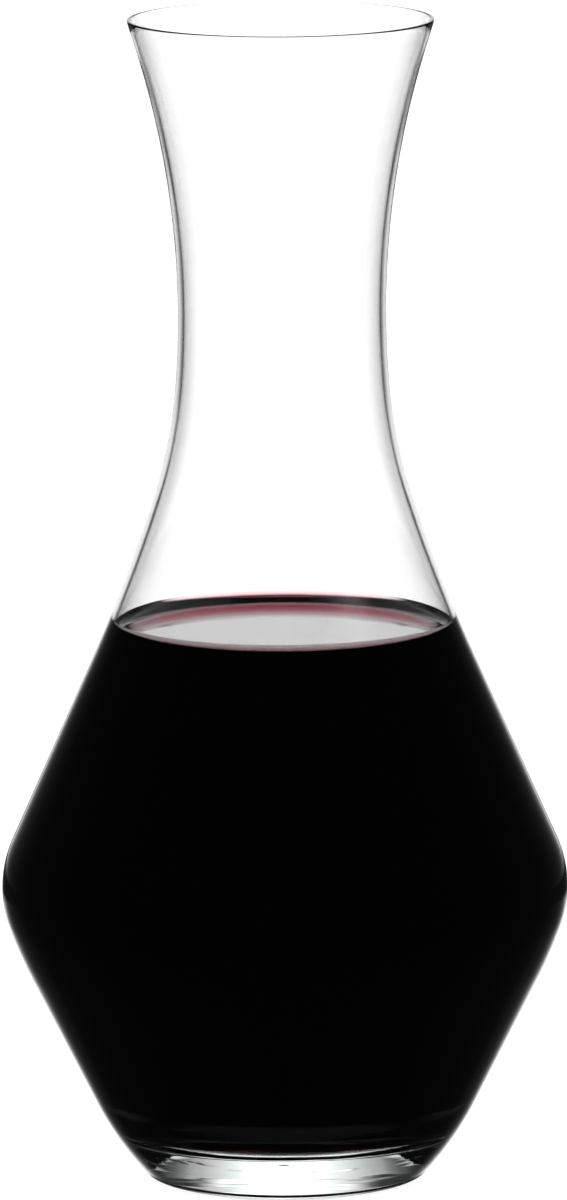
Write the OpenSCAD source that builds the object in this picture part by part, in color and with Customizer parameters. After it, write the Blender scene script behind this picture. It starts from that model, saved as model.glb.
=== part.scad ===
// Wine decanter: a one-piece clear glass vessel with a flared neck, a double-cone belly
// and a thick solid base, filled with red wine up to the shoulder.
// Millimetres, +Z up, standing on z = 0 with its axis on the origin.
// The outer outline is one chain of arcs and straight runs that meet without corners,
// drawn from the edge of the base up to the lip. The inner outline is the same chain moved
// inwards by the wall, closed by a rounded floor. Every lean is measured from the vertical.

/* [Overall] */
// Total height from the table to the top of the lip, mm
total_height = 242; // [237:1:256]
// Glass thickness from the lower cone up to the throat, mm
wall = 1.3; // [0.9:0.1:2]

/* [Foot] */
// Outer radius of the flat contact ring, mm
contact_radius = 28.1; // [27:0.1:29]
// Radius of the rounded heel edge, mm
heel_round = 1.6; // [1.2:0.1:2.2]
// Lean of the glass where the heel ends, degrees
heel_lean = 28; // [18:1:35]
// Radius of the small hollow between the heel and the foot, mm
cove_round = 2; // [1:0.1:4]
// Lean of the glass where the foot begins, degrees
foot_lean = 42.2; // [38:0.2:46]
// Radius of the long curve that leads the foot into the lower cone, mm
foot_sweep = 64; // [40:1:70]
// Depth of the hollow under the base, mm
punt_depth = 0.8; // [0.3:0.1:2]
// Radius of the hollow under the base, mm
punt_radius = 24; // [18:0.5:26]

/* [Belly] */
// Outer radius at the widest point, mm
belly_radius = 58.8; // [57:0.1:60]
// Lean of the straight lower cone, degrees
lower_lean = 26.6; // [25.5:0.1:27.5]
// Radius of the gentle curve under the belly, mm
under_belly_sweep = 97; // [60:1:120]
// Angle that the gentle curve under the belly turns through, degrees
under_belly_turn = 7; // [5:0.5:10]
// Radius of the tight bend at the widest point, mm
belly_bend = 23.5; // [18:0.5:26]

/* [Shoulder and neck] */
// Lean of the straight upper cone, degrees
upper_lean = 24; // [23:0.1:25]
// Radius of the first, slow curve out of the upper cone, mm
shoulder_sweep = 335; // [250:5:400]
// Angle that the slow curve turns through, degrees
shoulder_turn = 6.2; // [5:0.1:7]
// Radius of the main curve into the neck, mm
neck_sweep = 106; // [95:0.5:115]
// Radius of the curve through the narrowest part, below and above the throat, mm
waist_sweep = 186; // [170:1:198]
// Lean that is left when the curve through the narrowest part begins, degrees
waist_turn = 4.3; // [4:0.1:6]
// Inner radius of the throat, the straight bore at the narrowest part, mm
throat_radius = 20.3; // [19.5:0.1:21]
// Length of the throat, mm
throat_length = 12; // [8:1:16]
// Outward lean of the neck at the lip, degrees
lip_lean = 17.4; // [16:0.1:19]
// Glass thickness at the lip, to which the flare thins out from the throat, mm
lip_wall = 0.8; // [0.7:0.05:0.9]
// Radius of the two softened edges of the lip, mm
lip_round = 0.3; // [0.2:0.05:0.35]

/* [Inside] */
// Height of the inner floor, so the thickness of the solid base, mm
floor_height = 10.3; // [8:0.1:13]
// Radius of the rounding between the inner floor and the wall, mm
floor_round = 12; // [6:0.5:20]

/* [Wine] */
// Height of the wine's surface above the table, mm
fill_height = 114.2; // [60:0.1:128]
// Rise of the wine's edge where it climbs the glass, mm
meniscus_rise = 3; // [0.4:0.1:3.5]
// Width of the curved edge of the wine, mm
meniscus_width = 3.5; // [1:0.1:5]
// Gap between the wine and the glass, mm
wine_gap = 0.3; // [0.1:0.05:0.5]

/* [Hidden] */

arc_step = 3;         // largest turn between two points of an arc, degrees
edge_thickness = 0.2; // thickness of the wine's top edge at the glass
lip_step = 20;        // the same for the small rounds of the lip
meniscus_step = 15;   // the same for the small curve of the wine's edge
$fn = 180;

glass_colour = [0.86, 0.92, 0.92, 0.35];
wine_colour = [0.3, 0.01, 0.05];

throat_outer = throat_radius + wall;
throat_half_turn = asin(throat_length / 2 / waist_sweep);

// A point of the outline is [radius, height, heading]. The heading is the way the outline
// runs, in degrees above the outward horizontal. A positive turn bends it towards the axis.
function arc_point(from, radius, side, turned) =
    [
        from[0] + side * radius * (sin(from[2] + turned) - sin(from[2])),
        from[1] - side * radius * (cos(from[2] + turned) - cos(from[2])),
        from[2] + turned
    ];
function arc(from, radius, turn, step = arc_step) =
    let (count = ceil(abs(turn) / step))
    [for (i = [1 : count]) arc_point(from, radius, sign(turn), turn * i / count)];
function run(from, length) =
    [[from[0] + length * cos(from[2]), from[1] + length * sin(from[2]), from[2]]];
function end_of(path) = path[len(path) - 1];
function outward_gain(heading, radius, turn) =
    sign(turn) * radius * (sin(heading + turn) - sin(heading));
function facing(point, heading) = [point[0], point[1], heading];
function moved_in(point, distance) =
    [point[0] - distance * sin(point[2]), point[1] + distance * cos(point[2])];
function flat(path) = [for (p = path) [p[0], p[1]]];
function reversed(path) = [for (i = [len(path) - 1 : -1 : 0]) path[i]];

// Outer outline, from the contact ring to the start of the lip
base_edge = [contact_radius, 0, 0];
heel = arc(base_edge, heel_round, 90 - heel_lean);
cove = arc(end_of(heel), cove_round, heel_lean - foot_lean);
foot = arc(end_of(cove), foot_sweep, foot_lean - lower_lean);

lower_heading = 90 - lower_lean;
belly_gain = outward_gain(lower_heading, under_belly_sweep, under_belly_turn)
    + outward_gain(lower_heading + under_belly_turn, belly_bend, lower_lean - under_belly_turn);
lower_run = (belly_radius - belly_gain - end_of(foot)[0]) / cos(lower_heading);
lower_cone = run(end_of(foot), lower_run);
under_belly = arc(end_of(lower_cone), under_belly_sweep, under_belly_turn);
belly_low = arc(end_of(under_belly), belly_bend, lower_lean - under_belly_turn);
belly_high = arc(end_of(belly_low), belly_bend, upper_lean);

upper_heading = 90 + upper_lean;
neck_turn = upper_lean - shoulder_turn - waist_turn;
waist_low_turn = waist_turn - throat_half_turn;
neck_gain = outward_gain(upper_heading, shoulder_sweep, -shoulder_turn)
    + outward_gain(upper_heading - shoulder_turn, neck_sweep, -neck_turn)
    + outward_gain(90 + waist_turn, waist_sweep, -waist_low_turn);
upper_run = (throat_outer - neck_gain - end_of(belly_high)[0]) / cos(upper_heading);
upper_cone = run(end_of(belly_high), upper_run);
shoulder = arc(end_of(upper_cone), shoulder_sweep, -shoulder_turn);
neck = arc(end_of(shoulder), neck_sweep, -neck_turn);
waist_low = arc(end_of(neck), waist_sweep, -waist_low_turn);

throat_start = facing(end_of(waist_low), 90);
throat = run(throat_start, throat_length);
waist_high_turn = lip_lean - throat_half_turn;
waist_high = arc(facing(end_of(throat), 90 - throat_half_turn), waist_sweep, -waist_high_turn);
lip_heading = 90 - lip_lean;
lip_start_height = total_height - lip_round - lip_round * cos(lip_heading);
rim_run = (lip_start_height - end_of(waist_high)[1]) / sin(lip_heading);
rim = run(end_of(waist_high), rim_run);
lip_outside = arc(end_of(rim), lip_round, 180 - lip_heading, lip_step);
lip_top = run(end_of(lip_outside), (lip_wall - 2 * lip_round) / sin(lip_heading));
lip_inside = arc(end_of(lip_top), lip_round, lip_heading, lip_step);

foot_side = concat([base_edge], heel, cove, foot);
wall_side = concat(
    lower_cone, under_belly, belly_low, belly_high, upper_cone, shoulder, neck,
    [for (i = [0 : len(waist_low) - 2]) waist_low[i]],
    [throat_start], throat
);
flare_side = concat(waist_high, rim);

// Hollow under the base: a shallow dome of one arc, from its middle out to its edge
punt_sphere = (punt_radius * punt_radius + punt_depth * punt_depth) / (2 * punt_depth);
punt_half_angle = asin(punt_radius / punt_sphere);
punt_count = 6;
punt_side = [
    for (i = [0 : punt_count])
    let (angle = punt_half_angle * i / punt_count)
    [punt_sphere * sin(angle), punt_depth - punt_sphere * (1 - cos(angle))]
];

// Inside of the glass, moved in by a further gap for the wine
// The floor's rounding touches the floor and the straight inside of the lower cone.
function cone_inside(gap) = moved_in(end_of(foot), wall + gap);
function floor_corner(gap) =
    let (p = cone_inside(gap))
    p[0] - (p[1] - floor_height - gap) / tan(lower_heading);
function floor_flat(gap) =
    floor_corner(gap) - (floor_round - gap) * tan(lower_heading / 2);
function floor_side(gap) =
    arc([floor_flat(gap), floor_height + gap, 0], floor_round - gap, lower_heading);
function inside_wall(gap) =
    [for (p = wall_side) moved_in(p, wall + gap)];
// The inside of the flare has a shorter sweep than the outside, which thins the glass.
lip_thinning = (wall - lip_wall) / (1 - cos(waist_high_turn));
function flare_inside(gap) =
    let (
        heading = 90 - throat_half_turn,
        start = moved_in(facing(end_of(throat), heading), wall + gap)
    )
    arc(facing(start, heading), waist_sweep + wall + gap - lip_thinning, -waist_high_turn);
function inside(gap) =
    concat(
        [[0, floor_height + gap], [floor_flat(gap), floor_height + gap]],
        flat(floor_side(gap)),
        inside_wall(gap),
        flat(flare_inside(gap))
    );

// Wine's surface: flat in the middle, with an edge that curves up where it meets the glass
function crossing(a, b, height) =
    a[0] + (b[0] - a[0]) * (height - a[1]) / (b[1] - a[1]);
function radius_at(path, height) =
    [for (i = [1 : len(path) - 2]) if (path[i][1] <= height && path[i + 1][1] > height)
        crossing(path[i], path[i + 1], height)][0];

wine_inside = inside(wine_gap);
edge_height = fill_height + meniscus_rise;
edge_radius = radius_at(wine_inside, edge_height);
// The curve is a quarter of an ellipse, level at its inner end and steep at the glass
surface_side = [
    for (angle = [0 : meniscus_step : 90])
    [
        edge_radius - edge_thickness - meniscus_width * (1 - cos(angle)),
        fill_height + meniscus_rise * (1 - sin(angle))
    ]
];
wine_side = concat(
    [for (p = wine_inside) if (p[1] < edge_height) p],
    [[edge_radius, edge_height]]
);

module glass_vessel() {
    color(glass_colour)
    rotate_extrude()
    polygon(concat(
        punt_side,
        flat(foot_side),
        flat(wall_side),
        flat(flare_side),
        flat(lip_outside),
        flat(lip_top),
        flat(lip_inside),
        reversed(inside(0))
    ));
}

module red_wine() {
    color(wine_colour)
    rotate_extrude()
    polygon(concat(wine_side, surface_side, [[0, fill_height]]));
}

glass_vessel();
red_wine();
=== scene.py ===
"""Looks for the wine decanter: a lathed clear glass vessel and the red wine in it.

They stand on a plain pale floor, and soft panels in the world's light shape the glass.
"""

import math

import bmesh
import bpy
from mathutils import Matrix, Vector, noise

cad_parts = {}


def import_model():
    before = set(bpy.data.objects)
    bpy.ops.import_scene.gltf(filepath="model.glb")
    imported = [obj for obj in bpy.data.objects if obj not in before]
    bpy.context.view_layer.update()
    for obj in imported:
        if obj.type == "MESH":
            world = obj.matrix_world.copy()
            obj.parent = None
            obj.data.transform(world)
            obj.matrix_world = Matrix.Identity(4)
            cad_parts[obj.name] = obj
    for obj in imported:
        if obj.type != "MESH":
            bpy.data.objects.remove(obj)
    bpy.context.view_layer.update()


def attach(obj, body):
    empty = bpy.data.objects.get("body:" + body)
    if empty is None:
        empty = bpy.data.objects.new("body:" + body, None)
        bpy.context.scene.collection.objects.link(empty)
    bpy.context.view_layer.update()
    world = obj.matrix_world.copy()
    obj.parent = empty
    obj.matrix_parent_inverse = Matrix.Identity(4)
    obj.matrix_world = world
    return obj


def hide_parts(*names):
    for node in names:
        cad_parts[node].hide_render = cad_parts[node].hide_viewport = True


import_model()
scene = bpy.context.scene
MM = 0.001

# The outline of the glass, as in the CAD model: leans and turns in degrees, the rest in metres
HEIGHT = 242 * MM
WALL = 1.3 * MM
CONTACT_RADIUS = 28.1 * MM
HEEL_ROUND, HEEL_LEAN = 1.6 * MM, 28
COVE_ROUND = 2 * MM
FOOT_LEAN, FOOT_SWEEP = 42.2, 64 * MM
PUNT_DEPTH, PUNT_RADIUS = 0.8 * MM, 24 * MM
BELLY_RADIUS, BELLY_BEND = 58.8 * MM, 23.5 * MM
LOWER_LEAN = 26.6
UNDER_BELLY_SWEEP, UNDER_BELLY_TURN = 97 * MM, 7
UPPER_LEAN = 24
SHOULDER_SWEEP, SHOULDER_TURN = 335 * MM, 6.2
NECK_SWEEP = 106 * MM
WAIST_SWEEP, WAIST_TURN = 186 * MM, 4.3
THROAT_RADIUS, THROAT_LENGTH = 20.3 * MM, 12 * MM
LIP_LEAN = 17.4
LIP_WALL, LIP_ROUND = 0.8 * MM, 0.3 * MM
# How much shorter the inner sweep of the flare is, so that the wall thins to that of the lip
LIP_THINNING = (WALL - LIP_WALL) / (1 - math.cos(math.radians(LIP_LEAN)))
FLOOR_HEIGHT, FLOOR_ROUND = 10.3 * MM, 12 * MM
LOWER_HEADING, UPPER_HEADING = 90 - LOWER_LEAN, 90 + UPPER_LEAN

# The wine: its level, the length that sets the size of its climbing edge, the heading of that
# edge at the glass in degrees, the film above the edge, and the gap to the glass
FILL_HEIGHT = 114.2 * MM
CAPILLARY_LENGTH, MENISCUS_SLOPE = 1.65 * MM, 95
FILM_HEIGHT, FILM_STEPS = 0.55 * MM, 4
WINE_GAP = 0.03 * MM

# The waves in the pressed base: width, height, and the radius at which they end
BASE_WAVE, BASE_WAVE_HEIGHT, BASE_WAVES_END = 11 * MM, 0.28 * MM, 26 * MM
# How much narrower and weaker the finer waves are, and how far along the noise they lie
FINER, FINE_SHARE, FINE_SHIFT = 2.7, 0.3, 5
# Places in the noise for the floor's waves and the underside's, and how far the floor's sink
FLOOR_WAVES, PUNT_WAVES, FLOOR_DIP = 11.2, 3.7, 0.7

SEGMENTS = 256
SHARP_EDGE = 35
# The largest turn between two points of an arc, in degrees
SLOW_STEP, STEP, BELLY_STEP, FLOOR_STEP, HEEL_STEP, LIP_STEP = 0.5, 0.75, 1.5, 2, 4, 9
# The number of rings along straight and flat stretches
LOWER_RINGS, UPPER_RINGS, RIM_RINGS, LIP_RINGS = 16, 24, 3, 2
FLOOR_RINGS, PUNT_RINGS, SURFACE_RINGS = 30, 26, 12
# Points closer than this are taken to be in one place
TOUCHING = 0.001 * MM


def rad(a):
    return math.radians(a)


class Outline:
    """A chain of arcs and straight runs.

    Its points hold a radius, a height, and a heading in degrees above the outward level.
    """

    def __init__(self, radius, height, heading=0.0):
        self.points = [(radius, height, heading)]

    def arc(self, radius, turn, step=STEP):
        r, z, h = self.points[-1]
        count = max(2, math.ceil(abs(turn) / step))
        side = math.copysign(1, turn)
        for i in range(1, count + 1):
            t = h + turn * i / count
            across = side * radius * (math.sin(rad(t)) - math.sin(rad(h)))
            up = side * radius * (math.cos(rad(t)) - math.cos(rad(h)))
            self.points.append((r + across, z - up, t))
        return self

    def run(self, length, count=1):
        r, z, h = self.points[-1]
        for i in range(1, count + 1):
            d = length * i / count
            self.points.append((r + d * math.cos(rad(h)), z + d * math.sin(rad(h)), h))
        return self

    @property
    def end(self):
        return self.points[-1]


def gain(heading, radius, turn):
    """How far outwards an arc leads."""
    side = math.copysign(1, turn)
    return side * radius * (math.sin(rad(heading + turn)) - math.sin(rad(heading)))


def moved_in(p, distance):
    r, z, h = p
    return (r - distance * math.sin(rad(h)), z + distance * math.cos(rad(h)), h)


def outer_outline():
    """The wall from the contact ring to the lip, the lip, and two places along the wall.

    The places are the end of the foot and the throat.
    """
    line = Outline(CONTACT_RADIUS, 0)
    line.arc(HEEL_ROUND, 90 - HEEL_LEAN, HEEL_STEP)
    line.arc(COVE_ROUND, HEEL_LEAN - FOOT_LEAN, HEEL_STEP)
    line.arc(FOOT_SWEEP, FOOT_LEAN - LOWER_LEAN)
    foot_end = len(line.points) - 1
    bend_turn = LOWER_LEAN - UNDER_BELLY_TURN
    bend = gain(LOWER_HEADING, UNDER_BELLY_SWEEP, UNDER_BELLY_TURN) + gain(
        LOWER_HEADING + UNDER_BELLY_TURN, BELLY_BEND, bend_turn
    )
    line.run((BELLY_RADIUS - bend - line.end[0]) / math.cos(rad(LOWER_HEADING)), LOWER_RINGS)
    line.arc(UNDER_BELLY_SWEEP, UNDER_BELLY_TURN)
    line.arc(BELLY_BEND, bend_turn, BELLY_STEP)
    line.arc(BELLY_BEND, UPPER_LEAN, BELLY_STEP)
    neck_turn = UPPER_LEAN - SHOULDER_TURN - WAIST_TURN
    half = math.degrees(math.asin(THROAT_LENGTH / 2 / WAIST_SWEEP))
    bend = (
        gain(UPPER_HEADING, SHOULDER_SWEEP, -SHOULDER_TURN)
        + gain(UPPER_HEADING - SHOULDER_TURN, NECK_SWEEP, -neck_turn)
        + gain(90 + WAIST_TURN, WAIST_SWEEP, half - WAIST_TURN)
    )
    across = THROAT_RADIUS + WALL - bend - line.end[0]
    line.run(across / math.cos(rad(UPPER_HEADING)), UPPER_RINGS)
    line.arc(SHOULDER_SWEEP, -SHOULDER_TURN, SLOW_STEP)
    line.arc(NECK_SWEEP, -neck_turn)
    line.arc(WAIST_SWEEP, -WAIST_TURN, SLOW_STEP)
    throat = len(line.points) - 1
    line.arc(WAIST_SWEEP, -LIP_LEAN, SLOW_STEP)
    lip_start = HEIGHT - LIP_ROUND * (1 + math.sin(rad(LIP_LEAN)))
    line.run((lip_start - line.end[1]) / math.cos(rad(LIP_LEAN)), RIM_RINGS)
    wall_end = len(line.points)
    line.arc(LIP_ROUND, 90 + LIP_LEAN, LIP_STEP)
    line.run((LIP_WALL - 2 * LIP_ROUND) / math.cos(rad(LIP_LEAN)), LIP_RINGS)
    line.arc(LIP_ROUND, 90 - LIP_LEAN, LIP_STEP)
    return line.points[:wall_end], line.points[wall_end:], foot_end, throat


def inner_outline(gap=0.0):
    """The inside of the glass from the middle of its floor to the lip, moved in by gap."""
    r, z, _ = moved_in(wall[foot_end], WALL + gap)
    corner = r - (z - FLOOR_HEIGHT - gap) / math.tan(rad(LOWER_HEADING))
    flat = corner - (FLOOR_ROUND - gap) * math.tan(rad(LOWER_HEADING / 2))
    line = Outline(0, FLOOR_HEIGHT + gap).run(flat, FLOOR_RINGS)
    line.arc(FLOOR_ROUND - gap, LOWER_HEADING, FLOOR_STEP)
    points = list(line.points)
    for p in wall[foot_end + 1 : throat + 1]:
        q = moved_in(p, WALL + gap)
        if q[1] > points[-1][1]:
            points.append(q)
    flare = Outline(*points[-1])
    flare.arc(WAIST_SWEEP + WALL + gap - LIP_THINNING, -LIP_LEAN, SLOW_STEP)
    lip_end = moved_in(wall[-1], LIP_WALL + gap)
    flare.run((lip_end[1] - flare.end[1]) / math.cos(rad(LIP_LEAN)), RIM_RINGS)
    return points + flare.points[1:]


def unevenness(x, y, place, lift):
    """The small height differences of a pressed base of glass, fading out towards its rim."""
    r = math.hypot(x, y)
    edge = min(max((BASE_WAVES_END - r) / (BASE_WAVES_END / 3), 0), 1)
    fade = edge * edge * (3 - 2 * edge)
    x, y = x / BASE_WAVE, y / BASE_WAVE
    wave = noise.noise(Vector((x, y, place)))
    fine = noise.noise(Vector((FINER * x, FINER * y, place + FINE_SHIFT)))
    return BASE_WAVE_HEIGHT * fade * (wave + FINE_SHARE * fine + lift)


def make_uneven(obj, low, high, place, lift, lowest, highest):
    """Moves the points of the base between two heights up or down, inside two limits."""
    for v in obj.data.vertices:
        if low < v.co.z < high and math.hypot(v.co.x, v.co.y) < BASE_WAVES_END:
            moved = v.co.z + unevenness(v.co.x, v.co.y, place, lift)
            v.co.z = min(max(moved, lowest), highest)


def ring(bm, r, z):
    """The points of one ring of a lathed mesh, or its single point on the axis."""
    if r < TOUCHING / 10:
        return [bm.verts.new((0, 0, z))]
    turns = [math.tau * i / SEGMENTS for i in range(SEGMENTS)]
    return [bm.verts.new((r * math.cos(t), r * math.sin(t), z)) for t in turns]


def lathe(name, outline, masked):
    """A closed smooth mesh of revolution from points that begin and end on the axis.

    Each point holds a radius, a height and a mark. The face attribute called masked holds
    the smaller of the marks on the two sides of each face.
    """
    bm = bmesh.new()
    mark = bm.faces.layers.float.new(masked)
    rings = [ring(bm, r, z) for r, z, _ in outline]
    for k in range(len(rings) - 1):
        a, b = rings[k], rings[k + 1]
        wet = min(float(outline[k][2]), float(outline[k + 1][2]))
        for i in range(SEGMENTS):
            j = (i + 1) % SEGMENTS
            if len(a) == 1:
                face = bm.faces.new((a[0], b[j], b[i]))
            elif len(b) == 1:
                face = bm.faces.new((a[i], a[j], b[0]))
            else:
                face = bm.faces.new((a[i], a[j], b[j], b[i]))
            face[mark] = wet
    bmesh.ops.recalc_face_normals(bm, faces=bm.faces)
    for edge in bm.edges:
        edge.smooth = edge.calc_face_angle(0) < rad(SHARP_EDGE)
    mesh = bpy.data.meshes.new(name)
    bm.to_mesh(mesh)
    bm.free()
    for p in mesh.polygons:
        p.use_smooth = True
    obj = bpy.data.objects.new(name, mesh)
    scene.collection.objects.link(obj)
    return obj


def punt_outline():
    """The shallow dome under the base, from its middle to its edge."""
    sphere = (PUNT_RADIUS**2 + PUNT_DEPTH**2) / (2 * PUNT_DEPTH)
    half = math.asin(PUNT_RADIUS / sphere)
    turns = [half * i / PUNT_RINGS for i in range(PUNT_RINGS + 1)]
    return [(sphere * math.sin(t), PUNT_DEPTH - sphere * (1 - math.cos(t))) for t in turns]


def meniscus():
    """The still surface of a liquid by a wall, from the top of its film to where it is level.

    Its points hold the distance from the wall and the height above the level.
    """
    level_slope, step_share, least_step = 0.2, 0.06, 0.05
    top = 2 * CAPILLARY_LENGTH * math.sin(rad(MENISCUS_SLOPE / 2))
    lean = 1 / math.tan(rad(MENISCUS_SLOPE))
    points = []
    for i in range(FILM_STEPS + 1):
        down = i / FILM_STEPS
        points.append((FILM_HEIGHT * lean * down, top + FILM_HEIGHT * (1 - down)))
    slope = MENISCUS_SLOPE
    while slope > level_slope:
        step = max(slope * step_share, least_step)
        mid = slope - step / 2
        drop = CAPILLARY_LENGTH * math.cos(rad(mid / 2)) * rad(step)
        x, z = points[-1]
        points.append((x + drop / math.tan(rad(mid)), z - drop))
        slope -= step
    return points


def cut_at(points, height):
    """The points of an outline up to a height, with the last one on it."""
    below = [p for p in points if p[1] < height - TOUCHING]
    a, b = below[-1], points[len(below)]
    share = (height - a[1]) / (b[1] - a[1])
    return below + [tuple(u + (v - u) * share for u, v in zip(a, b))]


GLASS_INDEX = 1.52
WINE_INDEX = 1.345
# A mark of 1 takes the index from that of glass in air to that of glass in wine. On the side
# walls the mark takes it on to 1, because the wine is too dark there for anything but the
# faint mirror image that this leaves out.
FLOOR_MARK = 1.0
SIDE_MARK = (GLASS_INDEX - 1) / (GLASS_INDEX - GLASS_INDEX / WINE_INDEX)


def marked(points, mark):
    return [(p[0], p[1], mark) for p in points]


def vessel_outline():
    floor_end = FLOOR_HEIGHT + FLOOR_ROUND * (1 - math.cos(rad(LOWER_HEADING)))
    inside = inner_outline()
    dry = [p for p in inside if wine_top + TOUCHING < p[1] < lip[-1][1] - TOUCHING]
    wetted = cut_at(inside, wine_top)
    side = [p for p in wetted if p[1] > floor_end]
    base = [p for p in wetted if p[1] <= floor_end]
    return (
        marked(punt_outline() + wall + lip + dry[::-1], 0)
        + marked(side[::-1], SIDE_MARK)
        + marked(base[::-1], FLOOR_MARK)
    )


def wine_outline():
    side = marked(cut_at(inner_outline(WINE_GAP), wine_top), 1)
    rim = side[-1][0]
    surface = [(rim - x, FILL_HEIGHT + z, 0) for x, z in climb[1:]]
    inner = surface[-1][0]
    for i in range(1, SURFACE_RINGS + 1):
        surface.append((inner * (1 - i / SURFACE_RINGS), FILL_HEIGHT, 0))
    return side + surface


wall, lip, foot_end, throat = outer_outline()
climb = meniscus()
wine_top = FILL_HEIGHT + climb[0][1]
glass = lathe("decanter_glass", vessel_outline(), "wetted")
wine = lathe("wine_fill", wine_outline(), "against_glass")
make_uneven(glass, -1 * MM, 2 * MM, PUNT_WAVES, 0.0, 0.0, 2 * MM)
# The floor's waves only go down, so that the wine turns freely over them
floor_low, floor_top = FLOOR_HEIGHT - 1 * MM, FLOOR_HEIGHT + WINE_GAP / 2
make_uneven(glass, floor_low, floor_top, FLOOR_WAVES, -FLOOR_DIP, 0.0, FLOOR_HEIGHT)


# Materials


class Nodes:
    """Short ways to chain the nodes of one tree."""

    def __init__(self, tree):
        self.tree = tree

    def put(self, kind, *values, **settings):
        node = self.tree.nodes.new(kind)
        for k, v in settings.items():
            setattr(node, k, v)
        for socket, v in zip(node.inputs, values):
            if isinstance(v, bpy.types.NodeSocket):
                self.tree.links.new(v, socket)
            else:
                socket.default_value = v
        return node.outputs[0]

    def math(self, operation, *values):
        return self.put("ShaderNodeMath", *values, operation=operation)

    def times(self, first, *others):
        for other in others:
            first = self.math("MULTIPLY", first, other)
        return first

    def less(self, a, b):
        return self.math("SUBTRACT", a, b)

    def largest(self, first, *others):
        for other in others:
            first = self.math("MAXIMUM", first, other)
        return first

    def noise(self, place, width, detail):
        """Smooth noise between 0 and 1 whose largest shapes are width across."""
        node = self.tree.nodes.new("ShaderNodeTexNoise")
        node.inputs["Scale"].default_value = 1 / width
        node.inputs["Detail"].default_value = detail
        self.tree.links.new(place, node.inputs["Vector"])
        return node.outputs[0]

    def between(self, value, low, high, start=0.0, end=1.0):
        """start up to low, end from high on, and a smooth change between."""
        smooth = {"interpolation_type": "SMOOTHSTEP"}
        return self.put("ShaderNodeMapRange", value, low, high, start, end, **smooth)

    def fade(self, angle, degrees, start=0.0, end=1.0):
        """A smooth change of an angle in radians between two angles in degrees."""
        return self.between(angle, rad(degrees[0]), rad(degrees[1]), start, end)

    def curve(self, value, points):
        """Straight lines through points of degrees and value, read at an angle in radians."""
        last, top = points[-1][0], max(v for _, v in points)
        share = self.times(value, 1 / rad(last))
        node = self.tree.nodes.new("ShaderNodeFloatCurve")
        line = node.mapping.curves[0]
        for a, v in points[1:-1]:
            line.points.new(a / last, v / top)
        line.points[0].location = (0, points[0][1] / top)
        line.points[-1].location = (1, points[-1][1] / top)
        for p in line.points:
            p.handle_type = "VECTOR"
        node.mapping.update()
        self.tree.links.new(share, node.inputs["Value"])
        return self.times(node.outputs[0], top)


def tree_of(name):
    """A new material with an empty tree, the tree, and its output node."""
    material = bpy.data.materials.new(name)
    material.use_nodes = True
    tree = material.node_tree
    tree.nodes.clear()
    return material, tree, tree.nodes.new("ShaderNodeOutputMaterial")


def absorbing(tree, out, per_metre):
    """Absorption with the given loss per metre for red, green and blue."""
    spare = 1.05
    node = tree.nodes.new("ShaderNodeVolumeAbsorption")
    density = max(per_metre) * spare
    node.inputs["Density"].default_value = density
    node.inputs["Color"].default_value = [1 - s / density for s in per_metre] + [1]
    tree.links.new(node.outputs["Volume"], out.inputs["Volume"])


def clear_shader(tree, out, index, mask_name, masked_index, waves, haze):
    """A clear dielectric with faint waves and dull patches.

    Where the mask is 1 it meets another liquid or glass and bends light by masked_index.
    waves holds the width and height of the faint waves of its surface, and haze the width
    and strength of the faint dull patches on its dry part.
    """
    patch_start, patch_full, patch_detail, wave_detail = 0.45, 0.75, 4, 2
    bsdf = tree.nodes.new("ShaderNodeBsdfPrincipled")
    bsdf.inputs["Base Color"].default_value = (1, 1, 1, 1)
    bsdf.inputs["Transmission Weight"].default_value = 1
    bsdf.inputs["IOR"].default_value = index
    n = Nodes(tree)
    node = tree.nodes.new("ShaderNodeAttribute")
    node.attribute_name = mask_name
    mask = node.outputs["Fac"]
    place = tree.nodes.new("ShaderNodeTexCoord").outputs["Object"]
    patches = n.noise(place, haze[0], patch_detail)
    dry = n.less(1.0, n.math("MINIMUM", mask, 1.0))
    dull = n.between(patches, patch_start, patch_full, 0.0, haze[1])
    tree.links.new(n.times(dull, dry), bsdf.inputs["Roughness"])
    bump = tree.nodes.new("ShaderNodeBump")
    bump.inputs["Strength"].default_value = 1
    bump.inputs["Distance"].default_value = waves[1]
    tree.links.new(n.noise(place, waves[0], wave_detail), bump.inputs["Height"])
    tree.links.new(bump.outputs["Normal"], bsdf.inputs["Normal"])
    ratio = n.math("MULTIPLY_ADD", mask, masked_index - index, index)
    tree.links.new(ratio, bsdf.inputs["IOR"])
    tree.links.new(bsdf.outputs["BSDF"], out.inputs["Surface"])


def glass_material():
    material, tree, out = tree_of("clear_glass_look")
    waves, haze = (14 * MM, 0.012 * MM), (9 * MM, 0.012)
    clear_shader(tree, out, GLASS_INDEX, "wetted", GLASS_INDEX / WINE_INDEX, waves, haze)
    absorbing(tree, out, (2.2, 1.4, 1.7))
    return material


def wine_material():
    material, tree, out = tree_of("red_wine_look")
    waves, haze = (22 * MM, 0.006 * MM), (16 * MM, 0.008)
    clear_shader(tree, out, WINE_INDEX, "against_glass", 1.0, waves, haze)
    absorbing(tree, out, (300, 1500, 1300))
    return material


glass.data.materials.append(glass_material())
wine.data.materials.append(wine_material())
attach(glass, "vessel")
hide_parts("glass_vessel")
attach(wine, "wine")
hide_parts("red_wine")


# Floor

FLOOR_RADIUS, FLOOR_SEGMENTS, FLOOR_DROP = 8.0, 96, 0.2 * MM
FLOOR_GREY, FLOOR_GLOW = 0.3, 0.9


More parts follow.
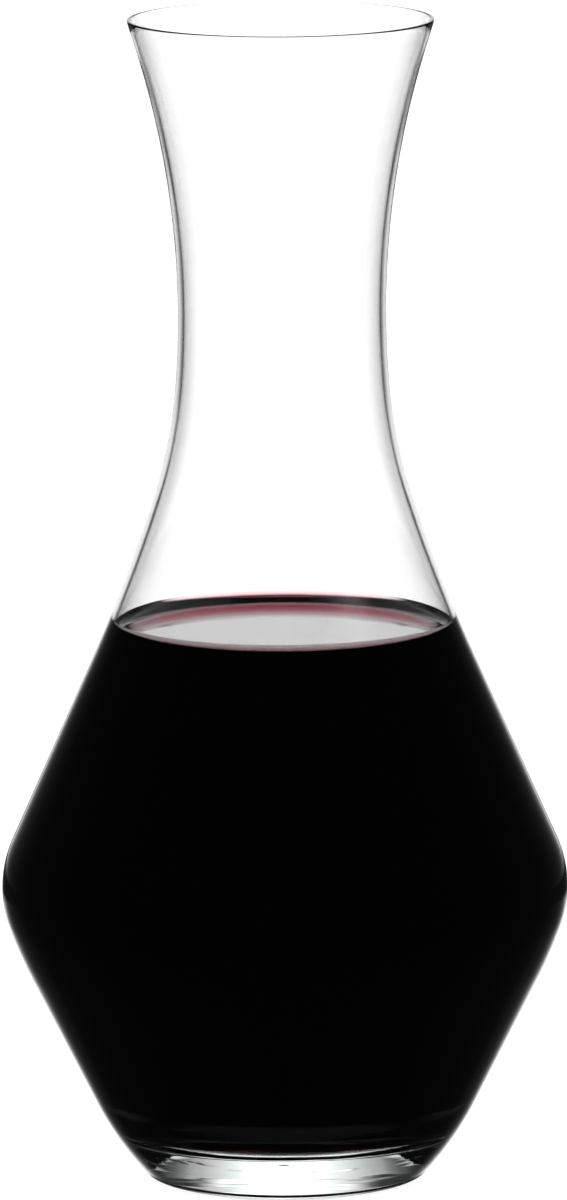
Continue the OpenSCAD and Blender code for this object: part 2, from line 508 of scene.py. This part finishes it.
def floor():
    bm = bmesh.new()
    bmesh.ops.create_circle(bm, cap_ends=True, radius=FLOOR_RADIUS, segments=FLOOR_SEGMENTS)
    mesh = bpy.data.meshes.new("floor")
    bm.to_mesh(mesh)
    bm.free()
    obj = bpy.data.objects.new("floor", mesh)
    scene.collection.objects.link(obj)
    obj.location.z = -FLOOR_DROP
    material, tree, out = tree_of("pale_floor")
    matt = tree.nodes.new("ShaderNodeBsdfDiffuse")
    matt.inputs["Color"].default_value = (FLOOR_GREY, FLOOR_GREY, FLOOR_GREY, 1)
    lit = tree.nodes.new("ShaderNodeEmission")
    lit.inputs["Strength"].default_value = FLOOR_GLOW
    both = tree.nodes.new("ShaderNodeAddShader")
    tree.links.new(matt.outputs["BSDF"], both.inputs[0])
    tree.links.new(lit.outputs["Emission"], both.inputs[1])
    tree.links.new(both.outputs[0], out.inputs["Surface"])
    mesh.materials.append(material)
    obj.visible_glossy = False
    obj.visible_transmission = False


floor()


# Light

# The plain light around the studio
SKY = 1.45
# The light that the glass bends: degrees off the middle of a bright panel, and brightness
PANEL = ((0, 1.65), (8, 1.62), (12, 1.5), (16, 1.25), (20, 0.9), (24, 0.6), (28, 0.3), (34, 0.05))
# The same for the narrow lower part of the back panel
STRIP = ((0, 1.65), (10, 1.6), (14, 1.0), (18, 0.5), (23, 0.2), (28, 0.04))
# The same for the part of the back panel just under eye level
LEDGE = ((0, 1.65), (14, 1.62), (18, 1.5), (22, 1.25), (26, 0.7), (30, 0.2), (34, 0.05))
# The same for the part of the back panel at eye level, and for the part above it
SILL = ((0, 1.65), (10, 1.5), (16, 1.1), (20, 0.5), (23, 0.14), (26, 0.05), (30, 0.03))
UPPER = (
    *((0, 1.65), (8, 1.3), (12, 0.98), (18, 0.7), (24, 0.48)),
    *((28, 0.4), (31, 0.25), (36, 0.13), (44, 0.05), (52, 0.02)),
)
# What the outside of the glass mirrors: degrees off the back of the studio, and brightness
BACK_PANEL = (
    *((0, 1.3), (9.5, 1.3), (12, 1.0), (14.5, 0.55), (17, 0.33), (21, 0.14)),
    *((25, 0.07), (28, 0.05), (33, 0.035), (40, 0.025), (46, 0.02), (60, 0.014)),
)

# The heights between which each part of the light fades in, in degrees above the level
LEDGE_EDGE, SILL_EDGE, UPPER_EDGE = (-7.5, -5.5), (-3, -1), (6, 10)
# The same either way from the level, for the strip and the windows on the diagonals
STRIP_EDGE, DIAGONAL_EDGE = (11.5, 14), (17, 30)
# The azimuths at which the side windows, the diagonal ones and the rear one stand
SIDES, DIAGONALS, REAR = (-90, 90), (-45, 45), 135
# The dim light beside the panels: where it begins, how bright it is before and after
BESIDE_EDGE, BESIDE = (50, 75), (0.04, 0.3)
# The darker part behind the camera: its azimuths, its heights and how much it takes away
BEHIND_EDGE, BEHIND_RISE, BEHIND_LOSS = (125, 150), (4, 12), 0.75
# More light above the level, and less at the top and the bottom
LEVEL_EDGE, LIFT = (-2, 4), 1.55
TOP_EDGE, TOP = (25, 38), 0.03
BOTTOM_EDGE, BOTTOM = (-46, -32), 0.1
# The bright surface under the decanter
DOWN_EDGE, DOWN = (-60, -50), 1.1
# What is mirrored fades towards these heights, down to a faint rest
MIRROR_BOTTOM, MIRROR_TOP, MIRROR_REST = (-40, -26), (22, 40), 0.02
# The dark line across what is mirrored: its height, its edges either way, and its light
LINE_HEIGHT, LINE_EDGE, LINE_LIGHT = -9.6, (1.2, 2.8), 0.06


def seen_through(n, azimuth, height):
    """The light that the glass and the wine bend."""

    def window(degrees):
        turned = n.math("WRAP", n.less(azimuth, rad(degrees)), math.pi, -math.pi)
        return n.curve(n.math("ABSOLUTE", turned), PANEL)

    aside = n.math("ABSOLUTE", azimuth)
    steep = n.math("ABSOLUTE", height)
    level = n.fade(steep, STRIP_EDGE, 1.0, 0.0)
    diagonal = n.fade(steep, DIAGONAL_EDGE)
    over_ledge = n.fade(height, LEDGE_EDGE)
    over_sill = n.fade(height, SILL_EDGE)
    over_eye = n.fade(height, UPPER_EDGE)
    under_sill = n.less(1.0, over_sill)
    brightest = n.largest(
        n.times(n.curve(aside, PANEL), level, under_sill),
        n.times(n.curve(aside, STRIP), n.less(1.0, level), under_sill),
        n.times(n.curve(aside, SILL), n.less(over_sill, over_eye)),
        n.times(n.curve(aside, UPPER), over_eye),
        n.times(n.curve(aside, LEDGE), n.less(over_ledge, over_sill)),
        *[n.times(window(side), level) for side in SIDES],
        *[n.times(window(side), diagonal) for side in DIAGONALS],
        window(REAR),
        n.fade(aside, BESIDE_EDGE, *BESIDE),
    )
    behind = n.times(n.fade(aside, BEHIND_EDGE), n.fade(height, BEHIND_RISE))
    brightest = n.times(
        brightest,
        n.less(1.0, n.times(behind, BEHIND_LOSS)),
        n.fade(height, LEVEL_EDGE, 1.0, LIFT),
        n.fade(height, TOP_EDGE, 1.0, TOP),
        n.fade(height, BOTTOM_EDGE, BOTTOM, 1.0),
    )
    return n.largest(brightest, n.fade(height, DOWN_EDGE, DOWN, 0.0))


def mirrored(n, azimuth, height):
    """The light that the outside of the glass and the wine mirror."""
    from_line = n.math("ABSOLUTE", n.math("ADD", height, rad(-LINE_HEIGHT)))
    panel = n.times(
        n.curve(n.math("ABSOLUTE", azimuth), BACK_PANEL),
        n.fade(height, MIRROR_BOTTOM, MIRROR_REST, 1.0),
        n.fade(height, MIRROR_TOP, 1.0, MIRROR_REST),
        n.fade(from_line, LINE_EDGE, LINE_LIGHT, 1.0),
    )
    return n.largest(panel, MIRROR_REST)


def world():
    """Soft panels for what the glass bends and mirrors, and an even sky for all the rest."""
    w = bpy.data.worlds.new("studio")
    scene.world = w
    w.use_nodes = True
    tree = w.node_tree
    tree.nodes.clear()
    n = Nodes(tree)
    coord = tree.nodes.new("ShaderNodeTexCoord")
    apart = tree.nodes.new("ShaderNodeSeparateXYZ")
    tree.links.new(coord.outputs["Generated"], apart.inputs[0])
    x, y, z = apart.outputs
    azimuth = n.math("ARCTAN2", x, y)
    height = n.math("ARCSINE", z)
    path = tree.nodes.new("ShaderNodeLightPath")
    bent = path.outputs["Is Transmission Ray"]
    mirror = n.times(path.outputs["Is Reflection Ray"], path.outputs["Is Glossy Ray"])
    plain = n.less(n.less(1.0, mirror), bent)
    shaped = n.math(
        "ADD",
        n.times(mirror, mirrored(n, azimuth, height)),
        n.times(bent, seen_through(n, azimuth, height)),
    )
    light = tree.nodes.new("ShaderNodeBackground")
    strength = n.math("ADD", n.times(plain, SKY), shaped)
    tree.links.new(strength, light.inputs["Strength"])
    out = tree.nodes.new("ShaderNodeOutputWorld")
    tree.links.new(light.outputs[0], out.inputs["Surface"])


world()


# Camera

CAMERA_DISTANCE = 2.398
CAMERA_HEIGHT = 0.5253
AIM_HEIGHT = 0.1208
ROLL = -0.3
SENSOR_HEIGHT = 24
# The focal length as a share of the picture's height
LENS_SHARE = 9.78
FAR_END = 50


def add_camera():
    data = bpy.data.cameras.new("camera")
    data.sensor_fit = "VERTICAL"
    data.sensor_height = SENSOR_HEIGHT
    data.lens = SENSOR_HEIGHT * LENS_SHARE
    data.clip_end = FAR_END
    camera = bpy.data.objects.new("camera", data)
    scene.collection.objects.link(camera)
    camera.location = (0, -CAMERA_DISTANCE, CAMERA_HEIGHT)
    look = Vector((0, 0, AIM_HEIGHT)) - camera.location
    camera.rotation_mode = "QUATERNION"
    camera.rotation_quaternion = look.to_track_quat("-Z", "Y")
    camera.rotation_mode = "XYZ"
    camera.rotation_euler.rotate_axis("Z", rad(ROLL))
    scene.camera = camera


add_camera()
scene.view_settings.view_transform = "Standard"
# Enough bounces for a ray to pass both walls, the wine and the solid base
scene.cycles.max_bounces = 24
scene.cycles.transmission_bounces = 24
scene.cycles.glossy_bounces = 12
